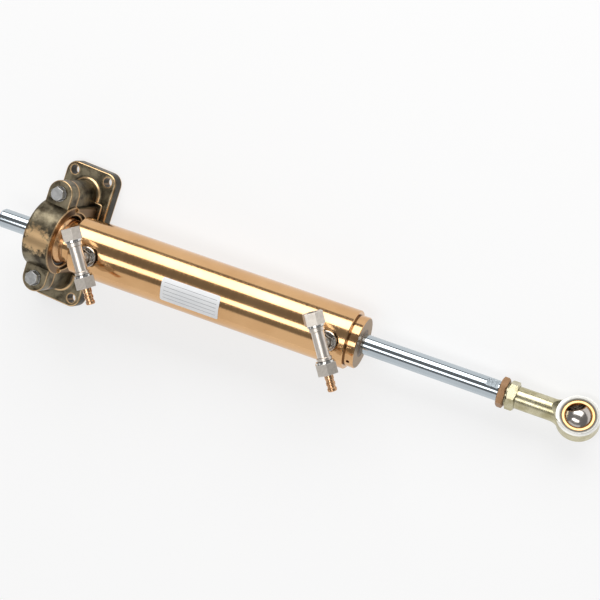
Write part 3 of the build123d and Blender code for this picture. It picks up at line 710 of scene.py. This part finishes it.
@dataclass(frozen=True)
class RuledFoil(Metal):
    """Satin label stock with thin plain rules across it, and nothing written between them."""

    ink: str = "#5A5D62"
    ink_share: float = 0.8
    rule_gap_mm: float = 4.2
    rule_mm: float = 0.32
    rule_soft_mm: float = 0.1
    rules_half_mm: float = 11.0
    rules_low_x: float = 139.5
    rules_high_x: float = 197.0

    def tone(self, tree: Tree, point: Socket) -> Socket:
        """Draw the rules on the foil's own colour.

        Args:
            tree: The material's node tree.
            point: The point in the label's own axes, in metres.

        Returns:
            A socket with the colour.
        """
        foil = super().tone(tree, point)
        place = add(tree, "ShaderNodeSeparateXYZ", links={0: point})
        wave = add(tree, "ShaderNodeMath", {"operation": "PINGPONG", 1: self.rule_gap_mm / 2 * MM},
                   {0: place.outputs[1]})
        half_rule, half, soft = self.rule_mm / 2 * MM, self.rules_half_mm * MM, self.rule_soft_mm * MM
        rule = Onset(half_rule + soft, half_rule, self.ink_share)
        line = add(tree, "ShaderNodeMapRange", rule.settings(), {"Value": wave.outputs[0]})
        along = band(tree, place.outputs[0], self.rules_low_x * MM, self.rules_high_x * MM, soft)
        across = band(tree, place.outputs[1], -half, half, soft)
        within = add(tree, "ShaderNodeMath", {"operation": "MULTIPLY"}, {0: along, 1: across})
        drawn = add(tree, "ShaderNodeMath", {"operation": "MULTIPLY"},
                    {0: line.outputs[0], 1: within.outputs[0]})
        return add(tree, "ShaderNodeMix", {"data_type": "RGBA", COLOUR_TO: linear(self.ink)},
                   {SHARE: drawn.outputs[0], COLOUR_FROM: foil}).outputs[MIXED]


@dataclass(frozen=True)
class Polymer(Metal):
    """Plastic or rubber: the same build as a metal's, with a dielectric shader."""

    metallic: float = 0.0
    ior: float = 1.5

    def finish(self, tree: Tree, skin: Skin) -> bpy.types.Node:
        """Join the parts of the surface into one dielectric shader.

        Args:
            tree: The material's node tree.
            skin: What the surface shows.

        Returns:
            The shader.
        """
        shader = super().finish(tree, skin)
        shader.inputs["IOR"].default_value = self.ior
        return shader


# Marks of a lathe, a grinder or a mould are really 0.02 to 0.3 mm apart, and sand grain about 0.4 mm,
# too fine to show when the whole cylinder is in the picture. So each mark_mm below is drawn coarser,
# just enough to show, and its depth_mm is as small as the real gloss asks.

# Drawn bronze tube, polished bright: warm gold with crisp long streaks of light.
POLISHED_BRONZE = Metal(
    "polished_bronze_tube", "#DEB281", "#CD9F6E", roughness=0.15, spread=0.04, lay=Lay.TURNED,
    mark_mm=1.5, depth_mm=0.0015, patch_mm=60.0, patch_share=0.6, painted_shade_mm=2.5)
# The same bronze as turned for the glands: polished rim, dull grey-brown faces.
GLAND_BRONZE = FacedMetal(
    "turned_bronze_gland", "#DDB07F", "#C0905D", roughness=0.14, spread=0.04, lay=Lay.TURNED,
    mark_mm=1.2, depth_mm=0.002, painted_shade_mm=2.0)
# Ball of turned bronze, rubbed by its liner: softer gold, with fine rings.
BALL_BRONZE = Metal(
    "turned_bronze_ball", "#DDB083", "#BC8C5C", roughness=0.26, lay=Lay.TURNED,
    mark_mm=1.2, depth_mm=0.003, patch_mm=10.0, patch_share=0.6)
# Sand-cast bronze under an olive-brown patina, gold where hands and tools have rubbed it
# and as a painted highlight along its edges and rounds.
CAST_BRONZE = CastMetal(
    "cast_bronze_patina", "#8A806A", "#443D31", roughness=0.35, spread=0.08,
    mark_mm=1.4, depth_mm=0.07, patch_mm=12.0, patch_share=1.0)
# Lock nut of aged brown bronze, brushed flat, so its faces stay plain and matte.
NUT_BRONZE = Metal(
    "aged_bronze_nut", "#AC8868", "#92704F", roughness=0.48,
    mark_mm=0.9, depth_mm=0.006, patch_mm=12.0, patch_share=0.6, painted_shade_mm=1.5, glint_mm=0.6, glint="#C39D78")
# Free-cutting brass of the bleeders, bright from the lathe.
BRASS = Metal(
    "turned_brass_bleeder", "#DFB48C", "#BE8C60", roughness=0.24, spread=0.05, lay=Lay.TURNED,
    mark_mm=0.8, depth_mm=0.003, patch_mm=5.0, patch_share=0.6, painted_shade_mm=2.0)
# Hard chrome, ground and polished: a cool mirror.
CHROME = Metal(
    "hard_chrome_ground", "#BFC8CE", "#B2BBC1", roughness=0.1, spread=0.02, lay=Lay.TURNED,
    mark_mm=1.4, depth_mm=0.0006, patch_mm=40.0)
# Hardened ball of the rod end, polished nearly to a mirror.
BALL_STEEL = Metal(
    "polished_ball_steel", "#D2CBC4", "#BCB5AE", roughness=0.2, spread=0.04,
    mark_mm=2.0, depth_mm=0.001, patch_mm=12.0)
# Stainless bolts, bright but a little grey, with a painted highlight on the rounded edges of their heads.
STAINLESS = Metal(
    "stainless_steel_bolt", "#BDBDBC", "#9F9F9E", roughness=0.34, spread=0.07,
    mark_mm=0.8, depth_mm=0.006, patch_mm=5.0, patch_share=0.7, painted_shade_mm=2.0, glint_mm=0.9)
# Stainless washers, coloured darker all over as painted shade under their bolts.
WASHER_STEEL_SHADED = Metal(
    "stainless_washer_painted_shade", "#8A8987", "#6A6967", roughness=0.3, spread=0.07,
    mark_mm=0.8, depth_mm=0.006, patch_mm=5.0, patch_share=0.7, painted_shade_mm=1.5, glint_mm=0.4)
# Bright washers under the tees: a silver ring with painted shade against the nut.
TEE_WASHER_STEEL = Metal(
    "bright_steel_washer", "#D4D2CE", "#B4B2AE", roughness=0.2, spread=0.05,
    mark_mm=0.8, depth_mm=0.004, patch_mm=3.0, patch_share=0.7, painted_shade_mm=2.2, glint_mm=0.5)
# Darker nickel plate of the tees' lock nuts, with a painted highlight along its edges.
NICKEL_DARKER = Metal(
    "nickel_plate_darker", "#857D73", "#5F574D", roughness=0.26,
    mark_mm=0.9, depth_mm=0.008, patch_mm=2.5, patch_share=0.6, painted_shade_mm=1.6, glint_mm=1.5)
# Nickel plate on the nuts of the tees: matte and faintly warm, their inner ends turned bright.
TUBE_NUT_NICKEL = NutMetal(
    "nickel_plate_tube_nut", "#E2DAD0", "#CAC2B7", roughness=0.4,
    mark_mm=0.9, depth_mm=0.012, patch_mm=2.5, patch_share=0.6, painted_shade_mm=1.2, glint_mm=0.6)
# The same plate on the bleeders' nuts, whose hexagon starts nearer to the tee.
BLEED_NUT_NICKEL = replace(TUBE_NUT_NICKEL, name="nickel_plate_bleed_nut", hexagon_from=17.9)
# Nickel plate over turned brass: satin, with long soft reflections.
NICKEL_BRIGHT = Metal(
    "nickel_plate_bright", "#E6DED4", "#D6CDC3", roughness=0.36, spread=0.02, lay=Lay.TURNED,
    mark_mm=0.8, depth_mm=0.0004, patch_mm=8.0, painted_shade_mm=1.5)
# Yellow passivated zinc on the forged rod end: beige-green with paler rubbed spots,
# and a painted highlight on the eye's cone.
PASSIVATED = EyeMetal(
    "yellow_passivated_zinc", "#CDC6A8", "#AEA580", roughness=0.28, spread=0.07,
    mark_mm=1.0, depth_mm=0.006, patch_mm=9.0, patch_share=0.9, painted_shade_mm=1.5)
# Machined race of the rod end: a bright gold ring with painted shade along its rims.
RACE_BRONZE = RaceMetal(
    "machined_bronze_race", "#E9BF88", "#D2A266", roughness=0.42, lay=Lay.TURNED,
    mark_mm=0.7, depth_mm=0.003, patch_mm=6.0)
# Blued spring steel of the snap rings.
SPRING_STEEL = Metal(
    "blued_spring_steel", "#5B5F66", "#3D4046", roughness=0.35,
    mark_mm=0.7, depth_mm=0.003, patch_mm=5.0, patch_share=0.6)
# Moulded acetal liner round the ball, nearly black, which also paints the shade in the gap round the ball.
LINER_PLASTIC = Polymer(
    "moulded_acetal_liner", "#1E1D1C", "#2A2826", roughness=0.38,
    mark_mm=0.8, depth_mm=0.01, patch_mm=8.0, patch_share=0.6)
# Turned bush of filled plastic, brown-grey.
BUSH_PLASTIC = Polymer(
    "turned_plastic_bush", "#6E6558", "#5A5247", roughness=0.45, lay=Lay.TURNED,
    mark_mm=0.8, depth_mm=0.006, patch_mm=6.0, patch_share=0.6)
# Moulded polyurethane lips, blue-grey and satin.
SEAL_PLASTIC = Polymer("moulded_polyurethane_seal", "#3C4650", "#303942", roughness=0.35, mark_mm=0.8)
# Moulded polyurethane rod wipers, brown like the gland face that they sit in.
WIPER_PLASTIC = Polymer("moulded_polyurethane_wiper", "#7A6654", "#665444", roughness=0.42, mark_mm=0.8)
# Nitrile rubber rings: black, with a soft sheen.
RUBBER = Polymer(
    "moulded_nitrile_rubber", "#161616", "#202020", roughness=0.5,
    mark_mm=0.8, depth_mm=0.008, patch_mm=6.0, patch_share=0.6)
# Aluminium foil label, satin white-silver, ruled but left bare.
FOIL = RuledFoil(
    "satin_foil_label", "#F0F1F2", "#E6E8EA", roughness=0.42, spread=0.05, lay=Lay.DRAWN,
    mark_mm=0.9, depth_mm=0.001, patch_mm=25.0, patch_share=0.6, metallic=0.15)


def dress(node: str, material: bpy.types.Material) -> None:
    """Give a CAD node its material.

    Args:
        node: The node's name.
        material: The material.
    """
    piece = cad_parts[node]
    piece.data.materials.clear()
    piece.data.materials.append(material)
    LOG.info("%s: %s", node, material.name)


@dataclass
class FootBracket:
    """Cast foot, its clamp cap, and the two bolts that hold them together."""

    def build(self) -> None:
        """Dress the bracket's nodes."""
        cast = CAST_BRONZE.material()
        dress("bracket_base", cast)
        dress("bracket_cap", cast)
        dress("clamp_bolts", STAINLESS.material())
        dress("clamp_washers", WASHER_STEEL_SHADED.material())


@dataclass
class BallJoint:
    """Split ball on the gland's neck and the liner between it and the clamp."""

    def build(self) -> None:
        """Dress the ball and its liner."""
        ball = BALL_BRONZE.material(ROD_AXES)
        dress("ball_sleeve_left", ball)
        dress("ball_sleeve_right", ball)
        liner = LINER_PLASTIC.material(ROD_AXES)
        dress("seat_liner_upper", liner)
        dress("seat_liner_lower", liner)


@dataclass
class Barrel:
    """Tube, the two glands with what seals them, and the label."""

    def build(self) -> None:
        """Dress the barrel's nodes."""
        dress("barrel_tube", POLISHED_BRONZE.material(BARREL_AXES))
        dress("barrel_label", FOIL.material(LABEL_AXES))
        gland = GLAND_BRONZE.material(BARREL_AXES)
        bush = BUSH_PLASTIC.material(BARREL_AXES)
        seal = SEAL_PLASTIC.material(BARREL_AXES)
        wiper = WIPER_PLASTIC.material(BARREL_AXES)
        rubber = RUBBER.material(BARREL_AXES)
        for end in ("front", "rear"):
            dress(f"{end}_gland", gland)
            dress(f"{end}_rod_bush", bush)
            dress(f"{end}_rod_seal", seal)
            dress(f"{end}_rod_wiper", wiper)
            dress(f"{end}_gland_o_ring", rubber)
        dress("rear_snap_ring", SPRING_STEEL.material())


@dataclass
class RodAndPiston:
    """Chromed rod right through the barrel, with the piston on it."""

    def build(self) -> None:
        """Dress the rod, the piston and what runs on the bore."""
        dress("piston_rod", CHROME.material(ROD_AXES))
        dress("piston", BALL_BRONZE.material(ROD_AXES))
        dress("piston_snap_rings", SPRING_STEEL.material())
        dress("piston_seal", SEAL_PLASTIC.material())
        dress("piston_guide_rings", BUSH_PLASTIC.material(ROD_AXES))
        rubber = RUBBER.material()
        dress("piston_inner_o_ring", rubber)
        dress("piston_seal_energiser", rubber)


@dataclass
class RodEnd:
    """Lock nut, and the rod end with its spherical bearing."""

    def build(self) -> None:
        """Dress the rod end's nodes."""
        dress("rod_lock_nut", NUT_BRONZE.material(EYE_AXES))
        dress("rod_end_body", PASSIVATED.material(EYE_AXES))
        dress("rod_end_race", RACE_BRONZE.material(EYE_AXES))
        dress("rod_end_ball", BALL_STEEL.material(EYE_AXES))


@dataclass
class TeeFitting:
    """One of the two tees with its nuts, its sealing pieces and its bleeder; places in mm."""

    end: str
    port_x: float
    height: float = 48.7

    def axes(self) -> Axes:
        """Find the axes of the tee's run, whose X goes through both nuts.

        Returns:
            The axes, with their origin in the middle of the tee.
        """
        local = Matrix.Rotation(math.radians(90 + TEE_TURN), 3, "Z")
        whole = BARREL_AXES.matrix().to_3x3() @ local
        turn = tuple(math.degrees(a) for a in whole.to_euler())
        return Axes(turn, BARREL_AXES.moved(x=self.port_x, z=self.height).origin)

    def build(self) -> None:
        """Dress the tee's nodes."""
        axes = self.axes()
        bright = NICKEL_BRIGHT.material(axes)
        dress(f"{self.end}_tee_body", bright)
        dress(f"{self.end}_tube_olive", bright)
        dress(f"{self.end}_tube_nut", TUBE_NUT_NICKEL.material(axes))
        dress(f"{self.end}_bleed_nut", BLEED_NUT_NICKEL.material(axes))
        dress(f"{self.end}_tee_lock_nut", NICKEL_DARKER.material(axes))
        dress(f"{self.end}_tee_washer", TEE_WASHER_STEEL.material())
        dress(f"{self.end}_tee_seal", RUBBER.material())
        dress(f"{self.end}_bleed_screw", BRASS.material(axes))


@dataclass
class Panel:
    """One soft box of the studio: a bright rectangle that faces the object, in degrees and metres."""

    name: str
    azimuth: float
    elevation: float
    distance: float
    length: float
    height: float
    radiance: float

    def build(self, target: Vector) -> None:
        """Hang the panel and aim it.

        Args:
            target: The point that it faces, in metres.
        """
        light = bpy.data.lights.new(self.name, "AREA")
        light.shape = "RECTANGLE"
        light.size = self.length
        light.size_y = self.height
        light.energy = self.radiance * math.pi * self.length * self.height
        lamp = bpy.data.objects.new(self.name, light)
        azimuth, elevation = math.radians(self.azimuth), math.radians(self.elevation)
        away = Vector((math.cos(azimuth) * math.cos(elevation), math.sin(azimuth) * math.cos(elevation),
                       math.sin(elevation)))
        lamp.location = target + away * self.distance
        side = Vector((1, 0, 0)) - away * away.x
        side.normalize()
        lamp.rotation_euler = Matrix((side, away.cross(side), away)).transposed().to_euler()
        lamp.visible_camera = False
        bpy.context.scene.collection.objects.link(lamp)


@dataclass
class Studio:
    """Pale floor, plain soft light, and the camera at the photograph's angle.

    The camera's place and aim are in mm, its roll in degrees, its view and the floor's side in metres.
    """

    camera_place: tuple[float, float, float] = (776.0, 358.2, 1586.9)
    camera_aim: tuple[float, float, float] = (255.2, 25.3, 0.0)
    camera_roll: float = -101.8
    lens: float = 101.76
    sensor_width: float = 36.0
    camera_view: float = 50.0
    floor_side: float = 12.0
    floor_colour: str = "#F6F6F6"
    floor_lift: float = 0.68
    world_colour: str = "#FFFFFF"
    world_level: float = 0.2
    lit_height_mm: float = 40.0
    panels: list[Panel] = field(default_factory=lambda: [
        Panel("side_soft_box", azimuth=93.0, elevation=32.0, distance=2.6, length=3.1, height=1.65,
              radiance=3.9),
        Panel("top_strip", azimuth=270.0, elevation=83.0, distance=2.6, length=2.6, height=0.74,
              radiance=3.5),
        Panel("fill_soft_box", azimuth=270.0, elevation=24.5, distance=2.6, length=4.5, height=2.45,
              radiance=0.66),
    ])

    def lay_floor(self) -> None:
        """Lay the floor: pale paper, lifted to white for the camera and in reflections."""
        half = self.floor_side / 2
        corners = [(-half, -half, 0), (half, -half, 0), (half, half, 0), (-half, half, 0)]
        mesh = bpy.data.meshes.new("floor")
        mesh.from_pydata(corners, [], [(0, 1, 2, 3)])
        floor = bpy.data.objects.new("floor", mesh)
        bpy.context.scene.collection.objects.link(floor)
        material = bpy.data.materials.new("matte_paper_floor")
        material.use_nodes = True
        tree = material.node_tree
        tree.nodes.clear()
        ray = add(tree, "ShaderNodeLightPath")
        shown = add(tree, "ShaderNodeMath", {"operation": "MAXIMUM"},
                    {0: ray.outputs["Is Camera Ray"], 1: ray.outputs["Is Glossy Ray"]})
        seen = add(tree, "ShaderNodeMath", {"operation": "MAXIMUM"},
                   {0: shown.outputs[0], 1: ray.outputs["Is Transmission Ray"]})
        share = add(tree, "ShaderNodeMath", {"operation": "MULTIPLY", 1: self.floor_lift},
                    {0: seen.outputs[0]})
        paper = add(tree, "ShaderNodeBsdfDiffuse", {"Color": linear(self.floor_colour)})
        white = add(tree, "ShaderNodeEmission", {"Strength": 1.0})
        mix = add(tree, "ShaderNodeMixShader",
                  links={0: share.outputs[0], 1: paper.outputs[0], 2: white.outputs[0]})
        add(tree, "ShaderNodeOutputMaterial", links={"Surface": mix.outputs[0]})
        mesh.materials.append(material)

    def light(self) -> None:
        """Light the studio with an even pale surround and its soft boxes."""
        world = bpy.data.worlds.new("studio")
        world.use_nodes = True
        background = world.node_tree.nodes["Background"]
        background.inputs["Color"].default_value = linear(self.world_colour)
        background.inputs["Strength"].default_value = self.world_level
        bpy.context.scene.world = world
        low, high = CAD_BOX
        target = (Vector(low) + Vector(high)) / 2
        target.z = self.lit_height_mm * MM
        for panel in self.panels:
            panel.build(target)

    def aim_camera(self) -> None:
        """Place the camera as the photograph was taken, with its roll."""
        camera = bpy.data.cameras.new("camera")
        camera.lens = self.lens
        camera.sensor_width = self.sensor_width
        camera.clip_end = self.camera_view
        viewer = bpy.data.objects.new("camera", camera)
        place, aim = Vector(self.camera_place) * MM, Vector(self.camera_aim) * MM
        turn = (aim - place).to_track_quat("-Z", "Y")
        roll = Quaternion((0, 0, 1), math.radians(self.camera_roll))
        viewer.matrix_world = Matrix.Translation(place) @ (turn @ roll).to_matrix().to_4x4()
        bpy.context.scene.collection.objects.link(viewer)
        bpy.context.scene.camera = viewer

    def build(self) -> None:
        """Build floor, light and camera, and keep plain colour handling."""
        self.lay_floor()
        self.light()
        self.aim_camera()
        bpy.context.scene.view_settings.view_transform = "Standard"


def main() -> None:
    """Build each sub-assembly in turn, and then the studio."""
    logging.basicConfig(level=logging.INFO, format="%(name)s: %(message)s")
    assemblies = [
        FootBracket(), BallJoint(), Barrel(), RodAndPiston(), RodEnd(),
        TeeFitting("rear", port_x=53.0), TeeFitting("front", port_x=314.0), Studio(),
    ]
    for assembly in assemblies:
        assembly.build()
        LOG.info("built %s", type(assembly).__name__)


if __name__ == "__main__":
    main()
